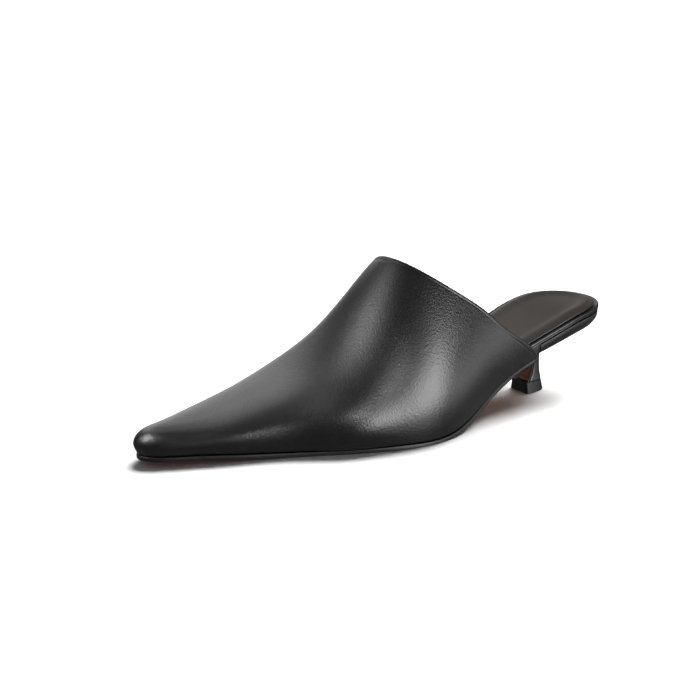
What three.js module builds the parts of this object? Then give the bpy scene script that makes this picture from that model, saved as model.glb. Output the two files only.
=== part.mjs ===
// A left pointed-toe mule on a kitten heel: hollow upper, insole, sock, outsole with a flap, heel and top piece.
// Millimetres. +X runs from the back of the seat to the toe, +Y to the wearer's left, +Z up.
import * as THREE from "three";
import { mergeVertices } from "three/addons/utils/BufferGeometryUtils.js";

// Driving sizes of the last
const LENGTH = 263.4;
const BALL = 76;
const INSTEP = 81;
const HEEL_RISE = 36.6;
const TOE_SPRING = 3.2;
const TOE_ROUND = 6;
const SEAT_ROUND = 23;
const NOSE_FAN = 8;

// Driving sizes of the pieces
const WALL = 1.8;
const GAP = 0.3;
const LAST_GAP = 0.5;
const SOLE = 2.3;
const TREAD_FLAT = 0.12;
const SOLE_EDGE = 2.6;
const FLAP = 1.6;
const BEND = 6;
const FLAP_TOP = 0.76;
const BOARD = 3.0;
const SHANK = 7.2;
const RIM = 2.6;
const RIM_ROUND = 0.7;
const SOCK = 1.6;
const SOCK_ROUND = 0.8;
const SOCK_INSET = 2.6;
const BREAST = 52;
const NOTCH = 0.6;
const SEAT_TUCK = 0.4;
const TOP_PIECE = 6;
const TOP_PIECE_FLARE = 0.6;

// How finely the curved pieces are divided
const UPPER_ROWS = 12;
const UPPER_COLUMNS = 46;
const SOLE_ROWS = 7;
const SOLE_COLUMNS = 44;
const BEND_STEPS = 6;
const FLAP_STEPS = 9;
const HEEL_SIDES = 16;
const HEEL_RINGS = 15;
const CLOSE_TO_TIP = 1.7;
const HALVINGS = 30;
const OUTLINE_STEP = 0.05;
const BREAST_STEP = 0.01;
const MERGE = 1e-3;

// Half widths of the footbed, shares of BALL, at shares of LENGTH from the back of the seat
const PLAN = {
  columns: ["at", "left", "right"],
  rows: [
    [0.0, 0.316, 0.300],
    [0.06, 0.328, 0.342],
    [0.13, 0.358, 0.360],
    [0.24, 0.351, 0.318],
    [0.36, 0.450, 0.268],
    [0.48, 0.600, 0.303],
    [0.58, 0.587, 0.400],
    [0.67, 0.474, 0.464],
    [0.76, 0.347, 0.419],
    [0.86, 0.234, 0.302],
    [0.94, 0.140, 0.187],
    [1.0, 0.096, 0.114],
  ],
};

// Height of the feather edge over the tread: shares of HEEL_RISE and of TOE_SPRING
const RISE = {
  columns: ["at", "heel", "toe"],
  rows: [
    [0.0, 1.0, 0],
    [0.1, 0.923, 0],
    [0.2, 0.683, 0],
    [0.32, 0.351, 0],
    [0.45, 0.024, 0],
    [0.56, 0, 0],
    [0.64, 0, 0],
    [0.78, 0, 0.15],
    [0.9, 0, 0.7],
    [1.0, 0, 1.0],
  ],
};

// Sections of the upper: ridge and widest level as shares of INSTEP, the ridge's place and the swell as shares
// of BALL, then each shoulder as a share of the reach out and of the height from the widest level to the ridge
const VAMP = {
  columns: ["at", "ridge", "place", "level", "swell", "leftOut", "leftUp", "rightOut", "rightUp"],
  rows: [
    [0.2, 0.776, -0.026, 0.173, 0.026, 0.8, 0.6, 0.8, 0.6],
    [0.35, 1.013, -0.025, 0.173, 0.039, 0.78, 0.6, 0.78, 0.62],
    [0.5, 1.0, -0.035, 0.16, 0.053, 0.74, 0.6, 0.76, 0.62],
    [0.6, 0.647, -0.025, 0.148, 0.053, 0.74, 0.62, 0.76, 0.64],
    [0.7, 0.378, -0.02, 0.123, 0.047, 0.74, 0.66, 0.76, 0.68],
    [0.8, 0.246, -0.013, 0.111, 0.039, 0.74, 0.68, 0.75, 0.68],
    [0.9, 0.167, -0.002, 0.086, 0.034, 0.73, 0.68, 0.73, 0.68],
    [1.0, 0.149, 0.004, 0.042, 0.012, 0.74, 0.68, 0.74, 0.68],
  ],
};

// Topline: how far round the section it is, from feather edge to ridge, and its distance from the seat's back
const TOPLINE = {
  columns: ["round", "left", "right"],
  rows: [
    [0.0, 0.213, 0.213],
    [0.1, 0.232, 0.232],
    [0.25, 0.276, 0.276],
    [0.5, 0.352, 0.352],
    [0.75, 0.458, 0.458],
    [0.9, 0.498, 0.498],
    [1.0, 0.5, 0.5],
  ],
};

// Heel sections from the top piece up to the seat: height as a share, back and front as shares of BREAST,
// half width as a share of BALL, and how far the section has grown into the seat's own outline
const HEEL = {
  columns: ["up", "back", "front", "half", "seat"],
  rows: [
    [0.0, 0.594, 0.835, 0.092, 0],
    [0.12, 0.63, 0.795, 0.083, 0],
    [0.28, 0.642, 0.775, 0.079, 0],
    [0.48, 0.638, 0.785, 0.082, 0],
    [0.62, 0.585, 0.82, 0.1, 0.04],
    [0.74, 0.42, 0.89, 0.16, 0.3],
    [0.82, 0.16, 0.965, 0.24, 0.82],
    [0.88, 0.045, 0.995, 0.29, 1],
    [1.0, 0.012, 1.0, 0.3, 1],
  ],
};

// Where a section's points lie on its way round: feather edge, widest level, shoulder, ridge and back down
const ROUNDS = [0, 0.2, 0.6, 1, 1.4, 1.8, 2];

// The footbed is at full thickness behind the first of these shares of LENGTH and thin ahead of the second
const SHANK_ENDS = [0.36, 0.54];

const clamp = THREE.MathUtils.clamp;
const lerp = THREE.MathUtils.lerp;
const smooth = THREE.MathUtils.smoothstep;

// A natural cubic spline through points, as a function that runs on past its ends.
function spline(places, values) {
  const last = places.length - 1;
  const steps = places.slice(1).map((place, i) => place - places[i]);
  const bends = new Array(last + 1).fill(0);
  const ratios = new Array(last + 1).fill(0);
  for (let i = 1; i < last; i++) {
    const turn = (values[i + 1] - values[i]) / steps[i] - (values[i] - values[i - 1]) / steps[i - 1];
    const weight = 2 * (steps[i - 1] + steps[i]) - steps[i - 1] * ratios[i - 1];
    ratios[i] = steps[i] / weight;
    bends[i] = (6 * turn - steps[i - 1] * bends[i - 1]) / weight;
  }
  for (let i = last - 1; i > 0; i--) bends[i] -= ratios[i] * bends[i + 1];
  return (place) => {
    let i = 0;
    while (i < last - 1 && place > places[i + 1]) i++;
    const after = place - places[i];
    const before = places[i + 1] - place;
    const step = steps[i];
    const curve = (bends[i] * before ** 3 + bends[i + 1] * after ** 3) / (6 * step);
    const low = values[i] / step - (bends[i] * step) / 6;
    const high = values[i + 1] / step - (bends[i + 1] * step) / 6;
    return curve + low * before + high * after;
  };
}

// One column of a table as a function of its first column, with both grown to real sizes.
function column(table, name, reach, size) {
  const index = table.columns.indexOf(name);
  const places = table.rows.map((row) => row[0] * reach);
  return spline(places, table.rows.map((row) => row[index] * size));
}

const leftPlan = column(PLAN, "left", LENGTH, BALL);
const rightPlan = column(PLAN, "right", LENGTH, BALL);
const heelRise = column(RISE, "heel", LENGTH, HEEL_RISE);
const toeRise = column(RISE, "toe", LENGTH, TOE_SPRING);
const vamp = {
  ridge: column(VAMP, "ridge", LENGTH, INSTEP),
  place: column(VAMP, "place", LENGTH, BALL),
  level: column(VAMP, "level", LENGTH, INSTEP),
  swell: column(VAMP, "swell", LENGTH, BALL),
  leftOut: column(VAMP, "leftOut", LENGTH, 1),
  leftUp: column(VAMP, "leftUp", LENGTH, 1),
  rightOut: column(VAMP, "rightOut", LENGTH, 1),
  rightUp: column(VAMP, "rightUp", LENGTH, 1),
};
const leftTopline = column(TOPLINE, "left", 1, LENGTH);
const rightTopline = column(TOPLINE, "right", 1, LENGTH);

// Height of the feather edge, where the upper and the footbed meet the outsole, whose tread is pressed flat.
function feather(x) {
  return SOLE - TREAD_FLAT + GAP + heelRise(x) + toeRise(x);
}

// Half width of the footbed on one side, +1 left or -1 right, with its rounded toe and seat.
function half(x, side) {
  const width = side > 0 ? leftPlan(x) : rightPlan(x);
  const toe = Math.sqrt(1 - Math.exp(-Math.max(LENGTH - x, 0) / TOE_ROUND));
  const seat = clamp(x / SEAT_ROUND, 0, 1);
  return width * toe * Math.sqrt(1 - (1 - seat) ** 2);
}

// A point of the footbed's outline moved out, or in where out is negative, square to the outline.
function outline(x, side, out) {
  const step = Math.min(OUTLINE_STEP, x, LENGTH - x);
  const slope = step > 0 ? (half(x + step, side) - half(x - step, side)) / (2 * step) : 0;
  const normal = new THREE.Vector2(-slope, 1).normalize();
  if (step <= 0) normal.set(x > 0 ? 1 : -1, 0);
  return [x + out * normal.x, side * (half(x, side) + out * normal.y)];
}

// Slope of a curve at x.
function slopeAt(x, curve) {
  return curve(x + 0.5) - curve(x - 0.5);
}

// How far the footbed's top face is over the feather edge: high over shank and seat, low at the tread.
function boardOver(x) {
  return lerp(SHANK, BOARD, smooth(x, SHANK_ENDS[0] * LENGTH, SHANK_ENDS[1] * LENGTH));
}

// How thick the footbed is: all of that ahead of the breast, and a rim over the heel.
function boardThick(x) {
  return lerp(RIM, boardOver(x), clamp((x - BREAST - GAP) / NOTCH, 0, 1));
}

// Height of the footbed's top face.
function footbed(x) {
  return feather(x) + boardOver(x);
}

// A closed body from grids of points: first its top, last its underside, and between them levels of its edge.
function body(grids, openStart = false) {
  const positions = [];
  const quad = (a, b, c, d) => {
    for (const corner of [a, b, c, a, c, d]) positions.push(...corner);
  };
  const cap = (grid, flip) => {
    for (let i = 0; i + 1 < grid.length; i++) {
      for (let j = 0; j + 1 < grid[i].length; j++) {
        const corners = [grid[i][j], grid[i + 1][j], grid[i + 1][j + 1], grid[i][j + 1]];
        if (flip) corners.reverse();
        quad(...corners);
      }
    }
  };
  const edge = (grid) => {
    const end = grid[0].length - 1;
    const points = [...grid[0], ...grid.slice(1).map((row) => row[end])];
    points.push(...grid[grid.length - 1].slice(0, end).reverse());
    if (!openStart) points.push(...grid.slice(0, -1).map((row) => row[0]).reverse());
    return points;
  };
  cap(grids[0], false);
  cap(grids[grids.length - 1], true);
  const edges = grids.map(edge);
  for (let k = 0; k + 1 < edges.length; k++) {
    for (let i = 0; i + 1 < edges[k].length; i++) {
      quad(edges[k][i], edges[k][i + 1], edges[k + 1][i + 1], edges[k + 1][i]);
    }
  }
  return solid(positions);
}

// Merges the corners, drops the triangles that have closed up, and turns every face outward.
function solid(positions) {
  const loose = new THREE.BufferGeometry();
  loose.setAttribute("position", new THREE.Float32BufferAttribute(positions, 3));
  const geometry = mergeVertices(loose, MERGE);
  const index = geometry.index.array;
  const at = geometry.attributes.position;
  const corner = (i) => new THREE.Vector3().fromBufferAttribute(at, i);
  const kept = [];
  let volume = 0;
  for (let i = 0; i < index.length; i += 3) {
    const [a, b, c] = index.slice(i, i + 3);
    if (a === b || b === c || c === a) continue;
    kept.push([a, b, c]);
    volume += corner(a).dot(corner(b).cross(corner(c)));
  }
  if (volume < 0) kept.forEach((face) => face.reverse());
  geometry.setIndex(kept.flat());
  return geometry;
}

// Stations along the footbed: close together at both ends, with two more at the notch over the breast.
function footbedStations() {
  const stations = [BREAST + GAP, BREAST + GAP + NOTCH];
  for (let j = 0; j <= SOLE_COLUMNS; j++) {
    const x = (LENGTH * (1 - Math.cos((Math.PI * j) / SOLE_COLUMNS))) / 2;
    if (Math.abs(x - BREAST - GAP) > 2 * NOTCH) stations.push(x);
  }
  return stations.sort((a, b) => a - b);
}

// A plate that follows the footbed's outline, moved in or out, at a height that depends on x.
function plate(out, height) {
  const grid = Array.from({ length: SOLE_ROWS }, () => []);
  for (const x of footbedStations()) {
    const ends = [outline(x, 1, out), outline(x, -1, out)];
    for (let i = 0; i < SOLE_ROWS; i++) {
      const across = i / (SOLE_ROWS - 1);
      const place = lerp(ends[0][0], ends[1][0], across);
      grid[i].push([place, lerp(ends[0][1], ends[1][1], across), height(place)]);
    }
  }
  return grid;
}

// One section of the upper's outside: left feather edge at 0, ridge at 1, right feather edge at 2.
function section(x) {
  const fromTip = LENGTH - x;
  const ridgeX = LENGTH - Math.hypot(fromTip, NOSE_FAN);
  const centre = new THREE.Vector2(ridgeX, vamp.place(ridgeX));
  const ridge = vamp.ridge(ridgeX);
  const level = vamp.level(ridgeX);
  const swell = vamp.swell(ridgeX);
  const sides = [1, -1].map((side) => {
    const toEdge = new THREE.Vector2(x, side * half(x, side)).sub(centre);
    const reach = toEdge.length() + LAST_GAP + WALL;
    const out = (side > 0 ? vamp.leftOut : vamp.rightOut)(ridgeX);
    const up = (side > 0 ? vamp.leftUp : vamp.rightUp)(ridgeX);
    const shoulder = [(reach + swell) * out, level + (ridge - level) * up];
    return { toward: toEdge.normalize(), reach, points: [[reach, 0], [reach + swell, level], shoulder] };
  });
  const mirrored = sides[1].points.map(([out, up]) => [-out, up]).reverse();
  const points = [...sides[0].points, [0, ridge], ...mirrored];
  const chord = [0];
  for (let i = 1; i < points.length; i++) {
    chord.push(chord[i - 1] + Math.hypot(points[i][0] - points[i - 1][0], points[i][1] - points[i - 1][1]));
  }
  const outAt = spline(chord, points.map((point) => point[0]));
  const upAt = spline(chord, points.map((point) => point[1]));
  const slope = slopeAt(ridgeX, (place) => vamp.ridge(place) + feather(place));
  return (round) => {
    let k = 0;
    while (k < ROUNDS.length - 2 && round > ROUNDS[k + 1]) k++;
    const along = lerp(chord[k], chord[k + 1], (round - ROUNDS[k]) / (ROUNDS[k + 1] - ROUNDS[k]));
    const out = outAt(along);
    const { toward, reach } = sides[out >= 0 ? 0 : 1];
    const share = clamp(Math.abs(out) / reach, 0, 1);
    const place = centre.clone().addScaledVector(toward, Math.abs(out));
    const ground = lerp(feather(ridgeX), feather(Math.min(x, LENGTH)), share);
    const lean = slope * (place.x - ridgeX) * (1 - share ** 2) ** 2;
    return new THREE.Vector3(place.x, place.y, ground + upAt(along) + lean);
  };
}

// The upper's outside, as rows that run from the tip to the topline, from the left feather edge to the right.
function vampSkin() {
  const count = 2 * UPPER_ROWS - 1;
  const rows = [];
  for (let k = 0; k < count; k++) {
    const round = (2 * k) / (count - 1);
    const topline = round <= 1 ? leftTopline(round) : rightTopline(2 - round);
    let near = 0;
    let far = LENGTH;
    for (let i = 0; i < HALVINGS; i++) {
      const middle = (near + far) / 2;
      if (section(LENGTH - middle)(round).x > topline) near = middle;
      else far = middle;
    }
    const row = [];
    for (let j = 0; j < UPPER_COLUMNS; j++) {
      const fromTip = near * (j / (UPPER_COLUMNS - 1)) ** CLOSE_TO_TIP;
      row.push(section(LENGTH - fromTip)(round));
    }
    rows.push(row);
  }
  for (let k = 0; k < UPPER_ROWS - 1; k++) {
    const seam = rows[k][0].clone().add(rows[count - 1 - k][0]).multiplyScalar(0.5);
    rows[k][0] = seam;
    rows[count - 1 - k][0] = seam.clone();
  }
  return rows;
}

// The skin moved in by the wall, level with the outside along the feather edge.
function lining(skin) {
  const last = skin.length - 1;
  const normalAt = (k, j) => {
    const before = j > 0 ? skin[k][j - 1] : skin[last - k][1];
    const after = skin[k][Math.min(j + 1, UPPER_COLUMNS - 1)];
    const along = after.clone().sub(before);
    const across = skin[Math.min(k + 1, last)][j].clone().sub(skin[Math.max(k - 1, 0)][j]);
    return along.cross(across);
  };
  return skin.map((row, k) => row.map((point, j) => {
    const normal = normalAt(k, j === 0 && 2 * k === last ? 1 : j);
    if (k === 0 || k === last) normal.setZ(0);
    return point.clone().addScaledVector(normal.normalize(), -WALL);
  }));
}

const arrays = (grid) => grid.map((row) => row.map((point) => point.toArray()));

function makeUpper() {
  const skin = vampSkin();
  return body([arrays(skin), arrays(lining(skin))], true);
}

function makeInsole() {
  return body([
    plate(-RIM_ROUND, footbed),
    plate(0, (x) => footbed(x) - RIM_ROUND),
    plate(0, (x) => footbed(x) - boardThick(x)),
  ]);
}

function makeSock() {
  const under = (x) => footbed(x) + GAP;
  return body([
    plate(-SOCK_INSET - SOCK_ROUND, (x) => under(x) + SOCK),
    plate(-SOCK_INSET, (x) => under(x) + SOCK - SOCK_ROUND),
    plate(-SOCK_INSET, under),
  ]);
}

const heelBack = column(HEEL, "back", 1, BREAST);
const heelFront = column(HEEL, "front", 1, BREAST);
const heelHalf = column(HEEL, "half", 1, BALL);
const heelSeat = column(HEEL, "seat", 1, 1);

// Height of a heel section at x: level at the top piece and leaning with the seat at the top.
function heelHeight(up, x) {
  const seat = footbed(x) - RIM - GAP;
  return lerp(TOP_PIECE + GAP, seat, up);
}

// Half width of a heel section where it has come a share of the way from its flat breast to its back.
function heelWidth(up, x, share, side) {
  const slim = heelHalf(up) * Math.sqrt(1 - share ** 2);
  const seat = Math.max(half(x, side) - SEAT_TUCK, 0);
  return lerp(slim, seat, clamp(heelSeat(up), 0, 1));
}

// One closed section of the heel: flat across the breast and round at the back.
function heelRing(up) {
  const back = heelBack(up);
  const front = heelFront(up);
  const ring = [];
  for (const side of [1, -1]) {
    const points = [];
    for (let i = 0; i <= HEEL_SIDES; i++) {
      const share = Math.sin((Math.PI * i) / (2 * HEEL_SIDES));
      const x = lerp(front, back, share);
      const y = i === HEEL_SIDES ? 0 : side * heelWidth(up, x, share, side);
      points.push([x, y, heelHeight(up, x)]);
    }
    if (side > 0) ring.push(...points);
    else ring.push(...points.slice(0, -1).reverse());
  }
  return ring;
}

// A closed body from rings of points, with a flat fan over each end.
function rings(list) {
  const positions = [];
  for (let k = 0; k + 1 < list.length; k++) {
    const count = list[k].length;
    for (let i = 0; i < count; i++) {
      const next = (i + 1) % count;
      positions.push(...list[k][i], ...list[k][next], ...list[k + 1][next]);
      positions.push(...list[k][i], ...list[k + 1][next], ...list[k + 1][i]);
    }
  }
  for (const [ring, flip] of [[list[0], true], [list[list.length - 1], false]]) {
    const last = ring.length - 1;
    for (let i = 0; i < (last - 1) / 2; i++) {
      const strip = [ring[i], ring[i + 1], ring[last - i - 1], ring[last - i]];
      if (flip) strip.reverse();
      positions.push(...strip[0], ...strip[1], ...strip[2], ...strip[0], ...strip[2], ...strip[3]);
    }
  }
  return solid(positions);
}

function makeHeel() {
  const list = [];
  for (let k = 0; k < HEEL_RINGS; k++) list.push(heelRing(k / (HEEL_RINGS - 1)));
  return rings(list);
}

// The top piece carries on the heel's lowest section, forward under the flap and flaring to the floor.
function makeTopPiece() {
  const front = heelFront(0) + GAP + FLAP;
  const ring = (flare, z) => {
    const points = [];
    for (let i = 0; i <= 2 * HEEL_SIDES; i++) {
      const turn = (Math.PI * i) / (2 * HEEL_SIDES);
      const x = lerp(front, heelBack(0) - flare, Math.sin(turn));
      points.push([x, (heelHalf(0) + flare) * Math.cos(turn), z]);
    }
    return points;
  };
  return rings([ring(TOP_PIECE_FLARE, 0), ring(0, TOP_PIECE)]);
}

// Stations of the outsole's upper face: along the footbed, round the bend and down the heel's breast.
function soleStations() {
  const stations = [];
  const bendX = BREAST + BEND;
  for (let j = 0; j <= SOLE_COLUMNS; j++) {
    const x = lerp(LENGTH, bendX, 1 - Math.cos((Math.PI * j) / (2 * SOLE_COLUMNS)));
    const left = outline(x, 1, SOLE_EDGE);
    const right = outline(x, -1, SOLE_EDGE);
    const down = new THREE.Vector2(slopeAt(x, feather), -1).normalize();
    stations.push({ left, right, height: (place) => feather(place) - GAP, down, thick: SOLE });
  }
  const onBreast = (up) => {
    const point = new THREE.Vector2(heelFront(up), heelHeight(up, heelFront(up)));
    const next = up + BREAST_STEP;
    const above = new THREE.Vector2(heelFront(next), heelHeight(next, heelFront(next)));
    const along = above.sub(point).normalize();
    const out = new THREE.Vector2(along.y, -along.x);
    return { point: point.addScaledVector(out, GAP), out };
  };
  const addLevel = ({ point, out, thick, left, right }) => {
    const height = () => point.y;
    stations.push({ left: [point.x, left], right: [point.x, -right], height, down: out, thick });
  };
  const first = stations[stations.length - 1];
  const start = new THREE.Vector2(bendX, feather(bendX) - GAP);
  const corner = new THREE.Vector2(BREAST + GAP, feather(BREAST + GAP) - GAP);
  const end = onBreast(FLAP_TOP);
  const endHalf = [1, -1].map((hand) => heelWidth(FLAP_TOP, heelFront(FLAP_TOP), 0, hand));
  for (let j = 1; j < BEND_STEPS; j++) {
    const t = j / BEND_STEPS;
    const point = start.clone().multiplyScalar((1 - t) ** 2).addScaledVector(corner, 2 * t * (1 - t));
    const out = first.down.clone().lerp(end.out, t).normalize();
    const left = lerp(first.left[1], endHalf[0], smooth(t, 0, 1));
    const right = lerp(-first.right[1], endHalf[1], smooth(t, 0, 1));
    point.addScaledVector(end.point, t * t);
    addLevel({ point, out, thick: lerp(SOLE, FLAP, t), left, right });
  }
  for (let j = 0; j <= FLAP_STEPS; j++) {
    const up = FLAP_TOP * (1 - j / FLAP_STEPS);
    const [left, right] = [1, -1].map((hand) => heelWidth(up, heelFront(up), 0, hand));
    addLevel({ ...onBreast(up), thick: FLAP, left, right });
  }
  stations[stations.length - 1].down.set(1, 0);
  return stations;
}

function makeOutsole() {
  const upper = Array.from({ length: SOLE_ROWS }, () => []);
  const lower = Array.from({ length: SOLE_ROWS }, () => []);
  for (const { left, right, height, down, thick } of soleStations()) {
    for (let i = 0; i < SOLE_ROWS; i++) {
      const x = lerp(left[0], right[0], i / (SOLE_ROWS - 1));
      const y = lerp(left[1], right[1], i / (SOLE_ROWS - 1));
      upper[i].push([x, y, height(x)]);
      lower[i].push([x + thick * down.x, y, Math.max(height(x) + thick * down.y, 0)]);
    }
  }
  return body([upper, lower]);
}

const finish = (color, roughness) => new THREE.MeshStandardMaterial({ color, roughness, metalness: 0 });
const blackLeather = finish(0x2b2827, 0.42);
const sockLeather = finish(0x4d4843, 0.55);
const soleLeather = finish(0x8a4a24, 0.5);
const toplift = finish(0x1a1a1b, 0.6);

const shoe = new THREE.Group();
const pieces = [
  ["upper", makeUpper, blackLeather],
  ["insole", makeInsole, blackLeather],
  ["sock", makeSock, sockLeather],
  ["outsole", makeOutsole, soleLeather],
  ["heel", makeHeel, blackLeather],
  ["top_piece", makeTopPiece, toplift],
];
for (const [name, make, material] of pieces) {
  const mesh = new THREE.Mesh(make(), material);
  mesh.name = name;
  shoe.add(mesh);
}

// The origin is under the middle of the whole shoe's box.
const box = new THREE.Box3().setFromObject(shoe);
shoe.position.set(-(box.min.x + box.max.x) / 2, -(box.min.y + box.max.y) / 2, -box.min.z);

export default shoe;
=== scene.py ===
"""A left pointed-toe mule on a kitten heel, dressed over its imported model.

Black smooth calf upper with a folded topline, leather lining, padded sock on a covered footbed,
waxed leather sole with an inked edge and a flap down the breast, covered heel and rubber top piece.
Sizes are in millimetres from the back of the seat, along the middle of the heel, and the meshes in metres.
"""

from __future__ import annotations

import logging
import math
from dataclasses import dataclass, field
from enum import Enum
from functools import cached_property
from typing import Any, Callable, Sequence

import bmesh
import bpy
import numpy as np
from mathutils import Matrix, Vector

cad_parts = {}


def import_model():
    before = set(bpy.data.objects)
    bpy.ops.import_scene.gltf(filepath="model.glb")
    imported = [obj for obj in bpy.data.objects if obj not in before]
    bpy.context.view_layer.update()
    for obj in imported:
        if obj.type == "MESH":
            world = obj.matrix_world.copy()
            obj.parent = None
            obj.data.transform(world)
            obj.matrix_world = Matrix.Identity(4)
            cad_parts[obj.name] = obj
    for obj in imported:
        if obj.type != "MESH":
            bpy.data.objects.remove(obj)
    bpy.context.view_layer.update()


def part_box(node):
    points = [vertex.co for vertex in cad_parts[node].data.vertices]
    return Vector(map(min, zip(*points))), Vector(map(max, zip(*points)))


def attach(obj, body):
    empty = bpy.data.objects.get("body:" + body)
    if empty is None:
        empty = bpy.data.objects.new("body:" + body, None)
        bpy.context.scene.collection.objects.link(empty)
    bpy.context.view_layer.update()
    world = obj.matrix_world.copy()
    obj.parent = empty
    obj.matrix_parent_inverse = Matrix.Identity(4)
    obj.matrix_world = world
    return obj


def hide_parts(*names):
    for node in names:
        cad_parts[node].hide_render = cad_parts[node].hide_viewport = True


MM = 0.001
# Shortest length that a direction is worked out from
NO_LENGTH = 1e-12
LOG = logging.getLogger("mule")

Array = np.ndarray


class Side(Enum):
    """Side of the shoe, by the sign of its Y."""

    LEFT = 1
    RIGHT = -1


class Surface(Enum):
    """Part of a closed body that a finish goes on."""

    TOP = 0
    EDGE = 1
    UNDERSIDE = 2


# Curves and tables of shares


def natural_bends(places: Array, values: Array) -> Array:
    """Second derivatives of natural cubic splines through rows of points.

    Args:
        places: Places along each spline, rising along the last axis.
        values: Values at those places, in the same shape.

    Returns:
        The second derivatives, in the same shape.
    """
    count = places.shape[-1]
    steps = np.diff(places)
    matrix = np.zeros(places.shape + (count,))
    matrix[..., 0, 0] = matrix[..., -1, -1] = 1
    for i in range(1, count - 1):
        matrix[..., i, i - 1] = steps[..., i - 1]
        matrix[..., i, i] = 2 * (steps[..., i - 1] + steps[..., i])
        matrix[..., i, i + 1] = steps[..., i]
    turns = np.zeros_like(values)
    turns[..., 1:-1] = 6 * np.diff(np.diff(values) / steps)
    return np.linalg.solve(matrix, turns[..., None])[..., 0]


def spline_piece(
    place: Array, places: Sequence[Array], values: Sequence[Array], bends: Sequence[Array]
) -> Array:
    """Value of one cubic piece between two knots.

    Args:
        place: Where the value is wanted.
        places: Place of the knot before and of the knot after.
        values: Values at the two knots.
        bends: Second derivatives at the two knots.

    Returns:
        The values at place.
    """
    step = places[1] - places[0]
    after, before = place - places[0], places[1] - place
    curve = (bends[0] * before**3 + bends[1] * after**3) / (6 * step)
    low = values[0] / step - bends[0] * step / 6
    high = values[1] / step - bends[1] * step / 6
    return curve + low * before + high * after


@dataclass(frozen=True)
class Curve:
    """A natural cubic spline through points, which runs on past its ends."""

    places: Array
    values: Array

    @cached_property
    def bends(self) -> Array:
        """Second derivatives at the points."""
        return natural_bends(self.places, self.values)

    def __call__(self, place: Array | float) -> Array:
        """Values of the curve.

        Args:
            place: Places along it.

        Returns:
            One value for each place.
        """
        place = np.asarray(place, float)
        knot = np.clip(np.searchsorted(self.places, place) - 1, 0, len(self.places) - 2)
        ends = [(table[knot], table[knot + 1]) for table in (self.places, self.values, self.bends)]
        return spline_piece(place, *ends)


@dataclass(frozen=True)
class ShareTable:
    """A short table of shares with named columns; the first column says where each row is."""

    columns: tuple[str, ...]
    rows: tuple[tuple[float, ...], ...]

    def curve(self, name: str, reach: float, size: float) -> Curve:
        """One column as a curve in real sizes.

        Args:
            name: Name of the column.
            reach: Size that the first column is a share of.
            size: Size that the column is a share of.

        Returns:
            The curve.
        """
        rows = np.array(self.rows)
        return Curve(rows[:, 0] * reach, rows[:, self.columns.index(name)] * size)


PLAN = ShareTable(
    ("at", "left", "right"),
    (
        (0.00, 0.316, 0.300),
        (0.06, 0.328, 0.342),
        (0.13, 0.358, 0.360),
        (0.24, 0.351, 0.318),
        (0.36, 0.450, 0.268),
        (0.48, 0.600, 0.303),
        (0.58, 0.587, 0.400),
        (0.67, 0.474, 0.464),
        (0.76, 0.347, 0.419),
        (0.86, 0.234, 0.302),
        (0.94, 0.140, 0.187),
        (1.00, 0.096, 0.114),
    ),
)
RISE = ShareTable(
    ("at", "heel", "toe"),
    (
        (0.00, 1.000, 0.00),
        (0.10, 0.923, 0.00),
        (0.20, 0.683, 0.00),
        (0.32, 0.351, 0.00),
        (0.45, 0.024, 0.00),
        (0.56, 0.000, 0.00),
        (0.64, 0.000, 0.00),
        (0.78, 0.000, 0.15),
        (0.90, 0.000, 0.70),
        (1.00, 0.000, 1.00),
    ),
)
VAMP = ShareTable(
    ("at", "ridge", "place", "level", "swell", "left out", "left up", "right out", "right up"),
    (
        (0.20, 0.776, -0.026, 0.175, 0.026, 0.80, 0.60, 0.80, 0.60),
        (0.35, 1.013, -0.025, 0.120, 0.030, 0.78, 0.60, 0.78, 0.62),
        (0.50, 1.000, -0.035, 0.088, 0.024, 0.74, 0.60, 0.76, 0.62),
        (0.60, 0.647, -0.025, 0.092, 0.026, 0.74, 0.62, 0.76, 0.64),
        (0.70, 0.378, -0.020, 0.110, 0.044, 0.74, 0.66, 0.76, 0.68),
        (0.80, 0.246, -0.013, 0.123, 0.026, 0.74, 0.68, 0.75, 0.68),
        (0.90, 0.167, -0.002, 0.086, 0.034, 0.73, 0.68, 0.73, 0.68),
        (1.00, 0.149, 0.004, 0.042, 0.012, 0.74, 0.68, 0.74, 0.68),
    ),
)
TOPLINE = ShareTable(
    ("round", "left back", "right back"),
    (
        (0.00, 0.211, 0.211),
        (0.05, 0.215, 0.215),
        (0.12, 0.227, 0.227),
        (0.25, 0.257, 0.258),
        (0.40, 0.306, 0.309),
        (0.55, 0.356, 0.369),
        (0.75, 0.451, 0.453),
        (0.90, 0.493, 0.493),
        (1.00, 0.499, 0.499),
        (1.10, 0.493, 0.493),
    ),
)
HEEL = ShareTable(
    ("up", "back", "front", "half", "seat"),
    (
        (0.00, 0.607, 0.835, 0.086, 0.00),
        (0.12, 0.631, 0.798, 0.081, 0.00),
        (0.28, 0.642, 0.775, 0.079, 0.00),
        (0.48, 0.638, 0.785, 0.082, 0.00),
        (0.60, 0.590, 0.820, 0.099, 0.04),
        (0.70, 0.480, 0.880, 0.150, 0.34),
        (0.78, 0.320, 0.970, 0.215, 0.67),
        (0.86, 0.160, 1.000, 0.270, 0.86),
        (0.94, 0.060, 1.000, 0.292, 0.97),
        (1.00, 0.008, 1.000, 0.300, 1.00),
    ),
)

# Where a section's knots lie on its way round, from one feather edge over the ridge to the other
ROUNDS = np.array([0, 0.2, 0.6, 1, 1.4, 1.8, 2])


def lerp(start: Any, end: Any, share: Any) -> Any:
    """The value a share of the way from start to end."""
    return start + (end - start) * share


def smooth(place: Array, start: float, end: float) -> Array:
    """A smooth step from 0 at start to 1 at end."""
    share = np.clip((place - start) / (end - start), 0, 1)
    return share * share * (3 - 2 * share)


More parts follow.
